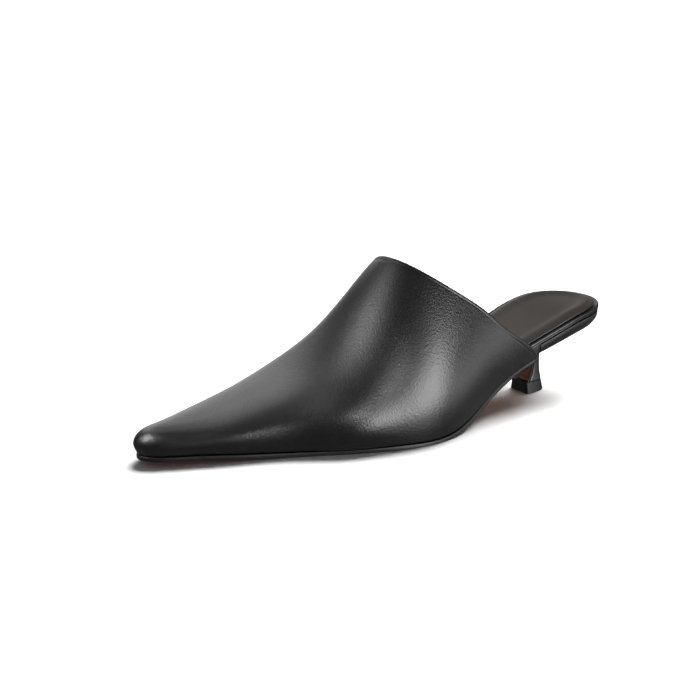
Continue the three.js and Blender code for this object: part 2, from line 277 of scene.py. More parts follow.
def unit(vectors: Array) -> Array:
    """Vectors along the last axis brought to length 1."""
    return vectors / np.maximum(np.linalg.norm(vectors, axis=-1, keepdims=True), NO_LENGTH)


# The last


@dataclass(frozen=True)
class Last:
    """The form that the shoe is made on: its bottom, its sections and its heights."""

    length: float = 263.4
    ball: float = 76.0
    instep: float = 81.0
    heel_rise: float = 36.6
    toe_spring: float = 3.2
    toe_round: float = 6.0
    seat_round: float = 23.0
    nose_fan: float = 8.0
    wall: float = 1.8
    wall_gap: float = 0.5
    gap: float = 0.3
    sole: float = 2.3
    tread_flat: float = 0.12
    shank: float = 7.2
    board: float = 3.0
    shank_ends: tuple[float, float] = (0.36, 0.54)
    joint_at: float = 0.665
    joint_out: float = 3.3
    joint_ahead: float = 15.0
    joint_behind: float = 18.0
    joint_up: float = 13.0
    joint_tall: float = 15.5
    joint_fades: float = 0.25
    slope_step: float = 0.5
    outline_step: float = 0.05
    end_reach: float = 1e-9

    @cached_property
    def plan(self) -> dict[Side, Curve]:
        """Half widths of the bottom on each side."""
        return {side: PLAN.curve(side.name.lower(), self.length, self.ball) for side in Side}

    @cached_property
    def rise(self) -> tuple[Curve, Curve]:
        """Lift of the feather edge towards the heel and towards the toe."""
        sizes = {"heel": self.heel_rise, "toe": self.toe_spring}
        return tuple(RISE.curve(name, self.length, size) for name, size in sizes.items())

    @cached_property
    def vamp(self) -> dict[str, Curve]:
        """Curves of the upper's sections by name."""
        sizes = {"ridge": self.instep, "level": self.instep, "place": self.ball, "swell": self.ball}
        return {name: VAMP.curve(name, self.length, sizes.get(name, 1.0)) for name in VAMP.columns[1:]}

    def feather(self, x: Array) -> Array:
        """Height of the edge where the upper meets the sole."""
        return self.sole - self.tread_flat + self.gap + self.rise[0](x) + self.rise[1](x)

    def half(self, x: Array, side: Side) -> Array:
        """Half width of the bottom on one side, with its rounded toe and seat.

        Args:
            x: Places along the last.
            side: Side of the last.

        Returns:
            One half width for each place.
        """
        toe = np.sqrt(1 - np.exp(-np.clip(self.length - x, 0, None) / self.toe_round))
        seat = np.clip(x / self.seat_round, 0, 1)
        return self.plan[side](x) * toe * np.sqrt(np.clip(1 - (1 - seat) ** 2, 0, None))

    def outline(self, x: Array, side: Side, out: Array | float) -> Array:
        """Points of the bottom's outline moved square to it.

        Args:
            x: Places along the last.
            side: Side of the last.
            out: How far the outline is moved out, or in where it is negative, once or for each place.

        Returns:
            One point in plan for each place.
        """
        x = np.asarray(x, float)
        out = np.broadcast_to(out, x.shape)
        step = np.minimum(self.outline_step, np.minimum(x, self.length - x))
        ends = step <= self.end_reach
        step = np.where(ends, 1.0, step)
        slope = (self.half(x + step, side) - self.half(x - step, side)) / (2 * step)
        normal = unit(np.stack([-slope, np.ones_like(x)], -1))
        normal[ends] = np.stack([np.where(x[ends] > 0, 1.0, -1.0), np.zeros(ends.sum())], -1)
        width = np.where(ends, 0.0, self.half(x, side))
        return np.stack([x + out * normal[:, 0], side.value * (width + out * normal[:, 1])], -1)

    def board_over(self, x: Array) -> Array:
        """How far the footbed's top is over the feather edge."""
        start, end = (share * self.length for share in self.shank_ends)
        return lerp(self.shank, self.board, smooth(x, start, end))

    def footbed(self, x: Array) -> Array:
        """Height of the footbed's top face."""
        return self.feather(x) + self.board_over(x)

    def joint(self, points: Array) -> Array:
        """How far the little toe's joint fills the left wall out.

        Args:
            points: Points of the upper.

        Returns:
            The distance out at each point.
        """
        along = points[:, 0] - self.joint_at * self.length
        along /= np.where(along > 0, self.joint_ahead, self.joint_behind)
        up = (points[:, 2] - self.feather(points[:, 0]) - self.joint_up) / self.joint_tall
        fade = smooth(points[:, 1], 0, self.ball * self.joint_fades)
        return self.joint_out * np.exp(-(along**2) - up**2) * fade

    def section(self, x: Array, way: Array) -> Array:
        """Points of the upper's outside.

        Args:
            x: Place of each section's feather edge.
            way: How far round each section: 0 at the left feather edge, 1 at the ridge, 2 at the right.

        Returns:
            One point for each pair, in millimetres.
        """
        from_tip = self.length - x
        ridge_x = self.length - np.hypot(from_tip, self.nose_fan)
        curves = {name: curve(ridge_x) for name, curve in self.vamp.items()}
        centre = np.stack([ridge_x, curves["place"]], -1)
        ridge, level = curves["ridge"], curves["level"]
        toward, reach, outs, ups = {}, {}, {}, {}
        for side in Side:
            name = side.name.lower()
            edge = np.stack([x, side.value * self.half(x, side)], -1) - centre
            toward[side] = unit(edge)
            reach[side] = np.linalg.norm(edge, axis=-1) + self.wall_gap + self.wall
            widest = reach[side] + curves["swell"]
            outs[side] = [reach[side], widest, widest * curves[f"{name} out"]]
            ups[side] = [np.zeros_like(x), level, level + (ridge - level) * curves[f"{name} up"]]
        zero = np.zeros_like(x)
        out = np.stack([*outs[Side.LEFT], zero, *[-value for value in reversed(outs[Side.RIGHT])]], -1)
        up = np.stack([*ups[Side.LEFT], ridge, *reversed(ups[Side.RIGHT])], -1)
        chord = np.concatenate([zero[:, None], np.cumsum(np.hypot(np.diff(out), np.diff(up)), axis=-1)], -1)
        knot = np.clip(np.searchsorted(ROUNDS, way) - 1, 0, len(ROUNDS) - 2)
        row = np.arange(len(x))
        ends = chord[row, knot], chord[row, knot + 1]
        along = lerp(*ends, (way - ROUNDS[knot]) / (ROUNDS[knot + 1] - ROUNDS[knot]))
        at = []
        for table in (out, up):
            bends = natural_bends(chord, table)
            pairs = [(values[row, knot], values[row, knot + 1]) for values in (chord, table, bends)]
            at.append(spline_piece(along, *pairs))
        left = at[0] >= 0
        share = np.clip(np.abs(at[0]) / np.where(left, reach[Side.LEFT], reach[Side.RIGHT]), 0, 1)
        heading = np.where(left[:, None], toward[Side.LEFT], toward[Side.RIGHT])
        place = centre + heading * np.abs(at[0])[:, None]
        ground = lerp(self.feather(ridge_x), self.feather(np.minimum(x, self.length)), share)
        before, after = ridge_x - self.slope_step, ridge_x + self.slope_step
        ridge = self.vamp["ridge"]
        slope = ridge(after) + self.feather(after) - ridge(before) - self.feather(before)
        lean = slope * (place[:, 0] - ridge_x) * (1 - share**2) ** 2
        points = np.column_stack([place, ground + at[1] + lean])
        points[:, 1] += self.joint(points)
        return points


# Meshes


def linear(hex_colour: str) -> tuple[float, float, float, float]:
    """An sRGB hex colour as linear RGBA.

    Args:
        hex_colour: Six hexadecimal digits after a hash.

    Returns:
        Red, green, blue and alpha.
    """
    shares = [int(hex_colour[i : i + 2], 16) / 255 for i in (1, 3, 5)]
    return (*[s / 12.92 if s <= 0.04045 else ((s + 0.055) / 1.055) ** 2.4 for s in shares], 1.0)


def grid_quads(rows: int, columns: int) -> Array:
    """Corner numbers of a grid's quads, row by row."""
    corner = (np.arange(rows - 1)[:, None] * columns + np.arange(columns - 1)).ravel()
    return np.stack([corner, corner + columns, corner + columns + 1, corner + 1], -1)


def rim_numbers(rows: int, columns: int, open_start: bool) -> Array:
    """Corner numbers round a grid's rim.

    Args:
        rows: Rows of the grid.
        columns: Columns of the grid.
        open_start: Leaves out the first column, where the rim is sewn to itself.

    Returns:
        The numbers in order, from the first row's start.
    """
    numbers = np.arange(rows * columns).reshape(rows, columns)
    parts = [numbers[0], numbers[1:, -1], numbers[-1, -2::-1]]
    if not open_start:
        parts.append(numbers[-2::-1, 0])
    return np.concatenate(parts)


def rim_points(grid: Array, open_start: bool = False) -> Array:
    """The points round a grid's rim as one line, which may leave out the first column."""
    return grid.reshape(-1, 3)[rim_numbers(*grid.shape[:2], open_start)]


@dataclass
class Mesh:
    """Points and faces of one piece as they are put together, in millimetres on the last."""

    points: list[Array] = field(default_factory=list)
    faces: list[Array] = field(default_factory=list)
    surfaces: list[Array] = field(default_factory=list)
    count: int = 0

    def add_points(self, points: Array) -> Array:
        """Adds points.

        Args:
            points: Points in any shape, with their three coordinates last.

        Returns:
            Their numbers, in the same shape.
        """
        flat = points.reshape(-1, 3)
        numbers = self.count + np.arange(len(flat))
        self.points.append(flat)
        self.count += len(flat)
        return numbers.reshape(points.shape[:-1])

    def add_faces(self, faces: Array, surface: Surface) -> None:
        """Adds quads of point numbers on one surface of the body."""
        self.faces.append(faces)
        self.surfaces.append(np.full(len(faces), surface.value))

    def add_cap(self, grid: Array, surface: Surface) -> Array:
        """Adds a grid of points as a face of the body.

        Args:
            grid: Rows of points.
            surface: Surface of the body that they are on.

        Returns:
            The numbers of the points, in rows.
        """
        numbers = self.add_points(grid)
        self.add_faces(numbers.ravel()[grid_quads(*numbers.shape)], surface)
        return numbers

    def add_band(self, first: Array, second: Array, surface: Surface = Surface.EDGE) -> None:
        """Adds the band of quads between two lines of point numbers."""
        quads = np.stack([first[:-1], first[1:], second[1:], second[:-1]], -1)
        self.add_faces(quads, surface)

    def close(
        self, top: Array, levels: Sequence[Array], underside: Array, open_start: bool = False
    ) -> None:
        """Adds a closed body from its top, the levels of its edge and its underside.

        Args:
            top: Grid of the top face.
            levels: Lines of points round the edge, from the top down, each as long as the rim.
            underside: Grid of the underside.
            open_start: Says that the first column is sewn to itself and has no edge.
        """
        rim = rim_numbers(*top.shape[:2], open_start)
        line = self.add_cap(top, Surface.TOP).ravel()[rim]
        for level in levels:
            following = self.add_points(level)
            self.add_band(line, following)
            line = following
        last = self.add_cap(underside, Surface.UNDERSIDE).ravel()[rim]
        self.add_band(line, last)


@dataclass(frozen=True)
class Place:
    """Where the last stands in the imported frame."""

    shift: Vector

    @staticmethod
    def from_frame() -> Place:
        """Reads the place from the footbed's back end and the middle of the top piece."""
        low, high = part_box("top_piece")
        return Place(Vector((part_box("insole")[0].x, (low.y + high.y) / 2, 0)))

    def metres(self, points: Array) -> Array:
        """Points of the last as places in the frame."""
        return points * MM + np.array(self.shift)


def build_piece(
    name: str,
    mesh: Mesh,
    place: Place,
    finishes: Sequence[bpy.types.Material],
    crease: float = 35.0,
    weld: float = 0.002,
) -> bpy.types.Object:
    """Makes one object of the scene from a mesh.

    Args:
        name: Plain name of the piece.
        mesh: Its points and faces.
        place: Where the last stands.
        finishes: One material, or one for each surface of the body.
        crease: Angle in degrees past which an edge stays sharp.
        weld: Distance in millimetres within which points become one.

    Returns:
        The object, riding on the shoe's body.
    """
    points = place.metres(np.concatenate(mesh.points))
    data = bpy.data.meshes.new(name)
    data.from_pydata(points.tolist(), [], np.concatenate(mesh.faces).tolist())
    for finish in finishes:
        data.materials.append(finish)
    if len(finishes) > 1:
        data.polygons.foreach_set("material_index", np.concatenate(mesh.surfaces).astype(np.int32))
    work = bmesh.new()
    work.from_mesh(data)
    bmesh.ops.remove_doubles(work, verts=work.verts, dist=weld * MM)
    bmesh.ops.dissolve_degenerate(work, edges=work.edges, dist=weld * MM)
    bmesh.ops.recalc_face_normals(work, faces=work.faces)
    if work.calc_volume(signed=True) < 0:
        bmesh.ops.reverse_faces(work, faces=work.faces)
    work.to_mesh(data)
    work.free()
    data.shade_smooth()
    data.set_sharp_from_angle(angle=math.radians(crease))
    piece = bpy.data.objects.new(name, data)
    bpy.context.scene.collection.objects.link(piece)
    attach(piece, "root")
    LOG.info("%s: %d faces", name, len(data.polygons))
    return piece


# Finishes


def add_node(
    tree: bpy.types.NodeTree,
    kind: str,
    values: dict[str | int, Any] | None = None,
    links: dict[str | int, bpy.types.NodeSocket] | None = None,
    **settings: Any,
) -> bpy.types.Node:
    """Adds a node with its settings, its constant inputs and its links.

    Args:
        tree: Tree that gets the node.
        kind: Type name of the node.
        values: Constants by input socket.
        links: Sockets of other nodes by input socket.
        settings: Attributes of the node.

    Returns:
        The node.
    """
    node = tree.nodes.new(kind)
    for name, value in settings.items():
        setattr(node, name, value)
    for socket, value in (values or {}).items():
        node.inputs[socket].default_value = value
    for socket, source in (links or {}).items():
        tree.links.new(source, node.inputs[socket])
    return node


def new_material(name: str) -> tuple[bpy.types.Material, bpy.types.NodeTree]:
    """A material with an empty node tree.

    Args:
        name: What it is made of and how.

    Returns:
        The material and its tree.
    """
    material = bpy.data.materials.new(name)
    material.use_nodes = True
    material.node_tree.nodes.clear()
    return material, material.node_tree


@dataclass(frozen=True)
class Leather:
    """A finished leather: a dyed ground, pore grain, and a slow unevenness of colour and gloss."""

    name: str
    colour: str
    deep_colour: str
    roughness: float
    specular: float
    grain_mm: float
    grain_depth_mm: float
    cloud_mm: float = 22.0
    cloud_depth_mm: float = 0.0
    cloud_detail: float = 3.0
    cloud_mixing: float = 0.55
    fine_share: float = 0.6
    fine_detail: float = 4.0
    fine_mixing: float = 0.6
    gloss_change: float = 0.05

    def make(self) -> bpy.types.Material:
        """Builds the material.

        Returns:
            The material with its nodes.
        """
        material, tree = new_material(self.name)
        at = {"Vector": add_node(tree, "ShaderNodeTexCoord").outputs["Object"]}
        cloud = add_node(
            tree,
            "ShaderNodeTexNoise",
            {"Scale": 1 / (self.cloud_mm * MM), "Detail": self.cloud_detail, "Roughness": self.cloud_mixing},
            at,
        ).outputs["Fac"]
        pores = add_node(
            tree, "ShaderNodeTexVoronoi", {"Scale": 1 / (self.grain_mm * MM)}, at, feature="SMOOTH_F1"
        )
        scale = 1 / (self.grain_mm * self.fine_share * MM)
        fine = add_node(
            tree,
            "ShaderNodeTexNoise",
            {"Scale": scale, "Detail": self.fine_detail, "Roughness": self.fine_mixing},
            at,
        )
        heights = {0: pores.outputs["Distance"], 1: fine.outputs["Fac"]}
        grain = add_node(tree, "ShaderNodeMath", links=heights, operation="ADD")
        colours = {"A": linear(self.deep_colour), "B": linear(self.colour)}
        tone = add_node(tree, "ShaderNodeMix", colours, {"Factor": cloud}, data_type="RGBA")
        low, high = self.roughness - self.gloss_change, self.roughness + self.gloss_change
        gloss = add_node(tree, "ShaderNodeMapRange", {"To Min": low, "To Max": high}, {"Value": cloud})
        relief = add_node(
            tree, "ShaderNodeBump", {"Distance": self.grain_depth_mm * MM}, {"Height": grain.outputs[0]}
        )
        if self.cloud_depth_mm:
            relief = add_node(
                tree,
                "ShaderNodeBump",
                {"Distance": self.cloud_depth_mm * MM},
                {"Height": cloud, "Normal": relief.outputs["Normal"]},
            )
        shader = add_node(
            tree,
            "ShaderNodeBsdfPrincipled",
            {"Specular IOR Level": self.specular},
            {
                "Base Color": tone.outputs["Result"],
                "Roughness": gloss.outputs["Result"],
                "Normal": relief.outputs["Normal"],
            },
        )
        add_node(tree, "ShaderNodeOutputMaterial", links={"Surface": shader.outputs["BSDF"]})
        return material

# Drum-dyed, plated calf: nearly black, with a broad satin highlight that its close grain breaks up.
# Calf pores lie about 0.2 mm apart; they are drawn at 0.9 mm so that they show.
BLACK_CALF = Leather("plated_black_calf", "#0d0c0c", "#090808", 0.32, 0.5, 0.9, 0.08)
# Goat lining: brushed dry by wear, so it is warm, dull and grey.
LINING_GOAT = Leather("dry_goat_lining", "#3a3531", "#2b2724", 0.62, 0.3, 0.8, 0.03)
# The sock's sheepskin: soft and warm grey over its foam, with a wide faint sheen.
SOCK_SHEEPSKIN = Leather("padded_sheepskin_sock", "#29241f", "#201c19", 0.46, 0.4, 0.9, 0.05, 30.0, 0.25)
# Bark-tanned sole bend, waxed and polished: orange brown with darker cloudy fibres.
WAXED_BEND = Leather("waxed_leather_bend", "#7c4826", "#532c15", 0.5, 0.4, 1.1, 0.03, 9.0)
# The sole's cut edge, inked and burnished with a hot iron: black and smooth, with a dull gleam.
# The same black also goes on the sole's top face, which shows only through the seam under the upper: painted
# shade there.
INKED_EDGE_AND_SEAM_SHADE = Leather("burnished_inked_edge_and_painted_seam_shade", "#0d0c0c", "#090808", 0.42, 0.35, 0.6, 0.01)


@dataclass(frozen=True)
class Rubber:
    """Moulded nitrile rubber: dull black with a fine stipple from its mould."""

    name: str = "moulded_nitrile_rubber"
    colour: str = "#0c0c0d"
    worn_colour: str = "#131213"
    roughness: float = 0.5
    specular: float = 0.25
    stipple_mm: float = 0.6
    stipple_depth_mm: float = 0.02
    stipple_detail: float = 2.0

    def make(self) -> bpy.types.Material:
        """Builds the material.

        Returns:
            The material with its nodes.
        """
        material, tree = new_material(self.name)
        at = {"Vector": add_node(tree, "ShaderNodeTexCoord").outputs["Object"]}
        stipple = add_node(
            tree,
            "ShaderNodeTexNoise",
            {"Scale": 1 / (self.stipple_mm * MM), "Detail": self.stipple_detail},
            at,
        ).outputs["Fac"]
        colours = {"A": linear(self.colour), "B": linear(self.worn_colour)}
        tone = add_node(tree, "ShaderNodeMix", colours, {"Factor": stipple}, data_type="RGBA")
        relief = add_node(
            tree, "ShaderNodeBump", {"Distance": self.stipple_depth_mm * MM}, {"Height": stipple}
        )
        shader = add_node(
            tree,
            "ShaderNodeBsdfPrincipled",
            {"Roughness": self.roughness, "Specular IOR Level": self.specular},
            {"Base Color": tone.outputs["Result"], "Normal": relief.outputs["Normal"]},
        )
        add_node(tree, "ShaderNodeOutputMaterial", links={"Surface": shader.outputs["BSDF"]})
        return material


# The upper and its lining


@dataclass
class Upper:
    """The hollow upper: a calf outside folded over the topline, and a leather lining inside."""

    last: Last
    place: Place
    side_steps: int = 44
    foot_steps: tuple[float, ...] = (0, 0.002, 0.005, 0.01, 0.018, 0.028, 0.04)
    along_steps: int = 150
    near_edge: float = 7.0
    near_steps: int = 30
    close_to_tip: float = 1.7
    halvings: int = 40
    foot_round: float = 0.9
    groove_at: float = 1.5
    groove_wide: float = 0.42
    groove_deep: float = 0.1
    fold_plump: float = 0.04
    fold_ends: tuple[float, float] = (0.6, 1.6)
    roll_steps: int = 9
    lining_thick: float = 0.35
    lining_gap: float = 0.02
    lining_from: float = 2.6

    @cached_property
    def ways(self) -> Array:
        """How far round the sections the rows lie.

        Returns:
            Rising numbers from 0 to 2, close together at both feather edges.
        """
        foot = np.array(self.foot_steps)
        half = np.concatenate([foot[:-1], np.linspace(foot[-1], 1, self.side_steps)])
        return np.concatenate([half, 2 - half[-2::-1]])

    @cached_property
    def reaches(self) -> Array:
        """How long each row is, found by halving.

        Returns:
            Distance from the tip, along the bottom, at which each row comes to the topline.
        """
        rounds = np.minimum(self.ways, 2 - self.ways)
        columns = (f"{side.name.lower()} back" for side in Side)
        left, right = (TOPLINE.curve(name, 1, self.last.length)(rounds) for name in columns)
        back = np.where(self.ways < 1, left, right)
        near, far = np.zeros_like(back), np.full_like(back, self.last.length)
        for _ in range(self.halvings):
            middle = (near + far) / 2
            ahead = self.last.section(self.last.length - middle, self.ways)[:, 0] > back
            near, far = np.where(ahead, middle, near), np.where(ahead, far, middle)
        return near - self.last.wall / 2
    def skin(self) -> tuple[Array, Array]:
        """The outside of the last's sections.

        Returns:
            Points in rows that run from the tip to the topline, and each point's distance before the topline.
        """
        share = np.linspace(0, 1, self.along_steps) ** self.close_to_tip
        main = (self.reaches[:, None] - self.near_edge) * share
        edge = self.near_edge * np.linspace(1, 0, self.near_steps + 1)[1:]
        from_tip = np.concatenate([main, self.reaches[:, None] - edge], axis=1)
        ways = np.broadcast_to(self.ways[:, None], from_tip.shape)
        points = self.last.section(self.last.length - from_tip.ravel(), ways.ravel())
        points = points.reshape(*from_tip.shape, 3)
        points[:, 0] = (points[:, 0] + points[::-1, 0]) / 2
        return points, self.reaches[:, None] - from_tip

    def normals(self, skin: Array) -> Array:
        """Outward directions of the skin, level along the feather edges.

        Args:
            skin: Rows of points from the tip to the topline.

        Returns:
            One direction for each point.
        """
        before = np.concatenate([skin[::-1, 1:2], skin[:, :-1]], axis=1)
        after = np.concatenate([skin[:, 1:], skin[:, -1:]], axis=1)
        across = np.concatenate([skin[1:2] - skin[:1], skin[2:] - skin[:-2], skin[-1:] - skin[-2:-1]])
        ridge = len(skin) // 2
        normals = np.cross(after - before, across)
        normals[ridge, 0] = normals[ridge, 1]
        normals[[0, -1], :, 2] = 0
        return unit(normals)

    def outside(self, skin: Array, normals: Array, before: Array) -> Array:
        """The outside with its folded topline, its groove and its rounded lower edge.

        Args:
            skin: Rows of points from the tip to the topline.
            normals: Their outward directions.
            before: Their distances before the topline.

        Returns:
            The points moved in and out.
        """
        groove = -self.groove_deep * np.exp(-(((before - self.groove_at) / self.groove_wide) ** 2))
        fold = smooth(before, *(self.groove_at * share for share in self.fold_ends))
        plump = self.fold_plump * (1 - fold)
        ground = self.last.feather(np.minimum(skin[..., 0], self.last.length))
        low = np.clip(self.foot_round - (skin[..., 2] - ground), 0, self.foot_round)
        row = np.arange(len(skin))
        side = np.minimum(row, row[::-1])[:, None] < len(self.foot_steps) * 2
        tuck = np.where(side, self.foot_round - np.sqrt(self.foot_round**2 - low**2), 0)
        level = unit(normals * [1, 1, 0])
        return skin + normals * (groove + plump)[..., None] - level * tuck[..., None]

    def make_calf(self, finish: bpy.types.Material) -> None:
        """Builds the calf outside with its folded edge, one closed wall.

        Args:
            finish: Material of the calf.
        """
        skin, before = self.skin()
        normals = self.normals(skin)
        outer = self.outside(skin, normals, before)
        inner = skin - normals * self.last.wall
        forward = np.zeros_like(outer)
        forward[:, -1] = unit(outer[:, -1] - outer[:, -2])
        outer_rim, inner_rim, ahead = (rim_points(grid, True) for grid in (outer, inner, forward))
        middle, arm = (outer_rim + inner_rim) / 2, (outer_rim - inner_rim) / 2
        turns = np.linspace(0, math.pi, self.roll_steps + 2)[1:-1]
        levels = [
            middle + arm * math.cos(turn) + ahead * (self.last.wall / 2) * math.sin(turn) for turn in turns
        ]
        mesh = Mesh()
        mesh.close(outer, levels, inner, open_start=True)
        piece = build_piece("upper_calf", mesh, self.place, [finish])
        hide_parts("upper")

    def make_lining(self, finish: bpy.types.Material) -> None:
        """Builds the lining, a thin closed skin inside the wall that stops short of the topline.

        Args:
            finish: Material of the lining.
        """
        skin, before = self.skin()
        normals = self.normals(skin)
        kept = before[len(before) // 2] > self.lining_from
        skin, normals = skin[1:-1, kept], normals[1:-1, kept]
        start = self.last.wall + self.lining_gap
        outer = skin - normals * start
        inner = skin - normals * (start + self.lining_thick)
        level = (rim_points(outer, True) + rim_points(inner, True)) / 2
        mesh = Mesh()
        mesh.close(outer, [level], inner, open_start=True)
        piece = build_piece("upper_lining", mesh, self.place, [finish], crease=50)


# The footbed and its sock


@dataclass
class Footbed:
    """The covered footbed, full under the arch and a rim over the heel, with its padded sock."""

    last: Last
    place: Place
    rim: float = 2.6
    bead: float = 0.8
    bead_low: float = 0.2
    bead_foot: float = 1.7
    bead_turn: tuple[float, float] = (150, -50)
    groove: float = 0.05
    wall_round: float = 0.4
    wall_turn: tuple[float, float] = (35, 90)
    lower_round: float = 0.1
    breast: float = 52.0
    notch: float = 0.3
    front_in: float = 1.2
    front_ends: float = 62.0
    stations: int = 170
    rows: int = 29
    round_steps: int = 5
    sock: float = 1.1
    sock_inset: float = 2.6
    sock_round: float = 0.7
    sock_under: float = 0.2
    sock_block: int = 500
    crown_from: float = 0.2
    crown_at: float = 4.6
    crown: float = 1.1
    crown_wide: float = 6.0
    crown_sink: float = 0.75

    def places(self) -> Array:
        """Stations along the footbed.

        Returns:
            Places close together at both ends and at the notch over the breast.
        """
        turn = np.linspace(0, math.pi, self.stations)
        x = self.last.length * (1 - np.cos(turn)) / 2
        notch = self.breast + self.last.gap + np.array([0, self.notch])
        x = x[np.abs(x - notch[0]) > 2 * self.notch]
        return np.sort(np.concatenate([x, notch]))

    def plate(self, out: Array | float, height: Callable[[Array], Array]) -> Array:
        """A grid over the bottom's outline.

        Args:
            out: How far its outline is moved out, or in where it is negative.
            height: Height of the grid as a function of x.

        Returns:
            The points in rows from left to right.
        """
        x = self.places()
        left, right = (self.last.outline(x, side, out) for side in Side)
        share = (1 - np.cos(np.linspace(0, math.pi, self.rows))) / 2
        plan = lerp(left[None], right[None], share[:, None, None])
        return np.concatenate([plan, height(plan[..., :1])], -1)

    def edge(self, out: Array | float, height: Callable[[Array], Array]) -> Array:
        """The rim of such a grid as one line of points."""
        return rim_points(self.plate(out, height))

    def thick(self, x: Array) -> Array:
        """Thickness of the footbed: a rim over the heel and all of it ahead of the breast."""
        share = np.clip((x - self.breast - self.last.gap) / self.notch, 0, 1)
        return lerp(self.rim, self.last.board_over(x), share)

    def edge_steps(self) -> list[tuple[float, float]]:
        """The edge in steps: a bead, a groove under it, and a softened wall.

        Returns:
            How far out and how far down each step lies.
        """
        bead = np.radians(np.linspace(*self.bead_turn, 3 * self.round_steps))
        wall = np.radians(np.linspace(*self.wall_turn, self.round_steps))
        steps = [(-self.bead * (1 - math.cos(t)), self.bead_low - self.bead * math.sin(t)) for t in bead]
        under, radius = steps[-1][1] + self.groove, self.wall_round
        steps += [(-radius * (1 - math.sin(t)), under + radius * (1 - math.cos(t))) for t in wall]
        return steps

    def make_footbed(self, finish: bpy.types.Material) -> None:
        """Builds the footbed, covered in the same calf as the upper.

        Args:
            finish: Material of its cover.
        """
        last = self.last
        levels = [
            self.edge(out, lambda x, drop=drop: last.footbed(x) - drop)
            for out, drop in self.edge_steps()
        ]
        small = self.lower_round
        under = -self.front_in * (1 - smooth(self.places(), self.breast, self.front_ends))
        levels.append(self.edge(under, lambda x: last.footbed(x) - self.thick(x) + small))
        mesh = Mesh()
        mesh.close(
            self.plate(-self.bead_foot, last.footbed),
            levels,
            self.plate(under - small, lambda x: last.footbed(x) - self.thick(x)),
        )
        piece = build_piece("footbed_cover", mesh, self.place, [finish])
        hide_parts("insole")
    def pad(self, inside: Array) -> Array:
        """Height of the padding over the sock's shoulder.

        Args:
            inside: Distance of each point inside the sock's edge.

        Returns:
            A height for each point.
        """
        near = np.clip(inside / self.sock_round, 0, 1)
        rise = self.sock_round * np.sqrt(np.clip(1 - (1 - near) ** 2, 0, 1))
        swell = self.crown * smooth(inside, self.crown_from, self.crown_at)
        sink = self.crown_sink * self.crown * smooth(inside, self.crown_at, self.crown_at + self.crown_wide)
        return rise + swell - sink

    def base(self, x: Array) -> Array:
        """Height of the sock's underside."""
        return self.last.footbed(x) + self.last.gap

    def make_sock(self, finish: bpy.types.Material) -> None:
        """Builds the padded sock: a soft shoulder all round, a raised welt inside it and a shallow seat.

        Args:
            finish: Material of the sock.
        """
        shoulder = self.sock - self.sock_round
        top = self.plate(-self.sock_inset, lambda x: self.base(x) + shoulder)
        line = self.edge(-self.sock_inset, self.base)[:, :2]
        flat = top.reshape(-1, 3)
        inside = np.empty(len(flat))
        for start in range(0, len(flat), self.sock_block):
            block = slice(start, start + self.sock_block)
            inside[block] = np.sqrt(((flat[block, None, :2] - line[None]) ** 2).sum(-1)).min(1)
        flat[:, 2] += self.pad(inside)
        mesh = Mesh()
        lower = self.edge(-self.sock_inset, lambda x: self.base(x) + shoulder / 2)
        under = self.plate(-self.sock_inset - self.sock_under, self.base)
        mesh.close(flat.reshape(top.shape), [lower], under)
        piece = build_piece("sock_pad", mesh, self.place, [finish], crease=60)
        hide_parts("sock")


# The heel and its top piece


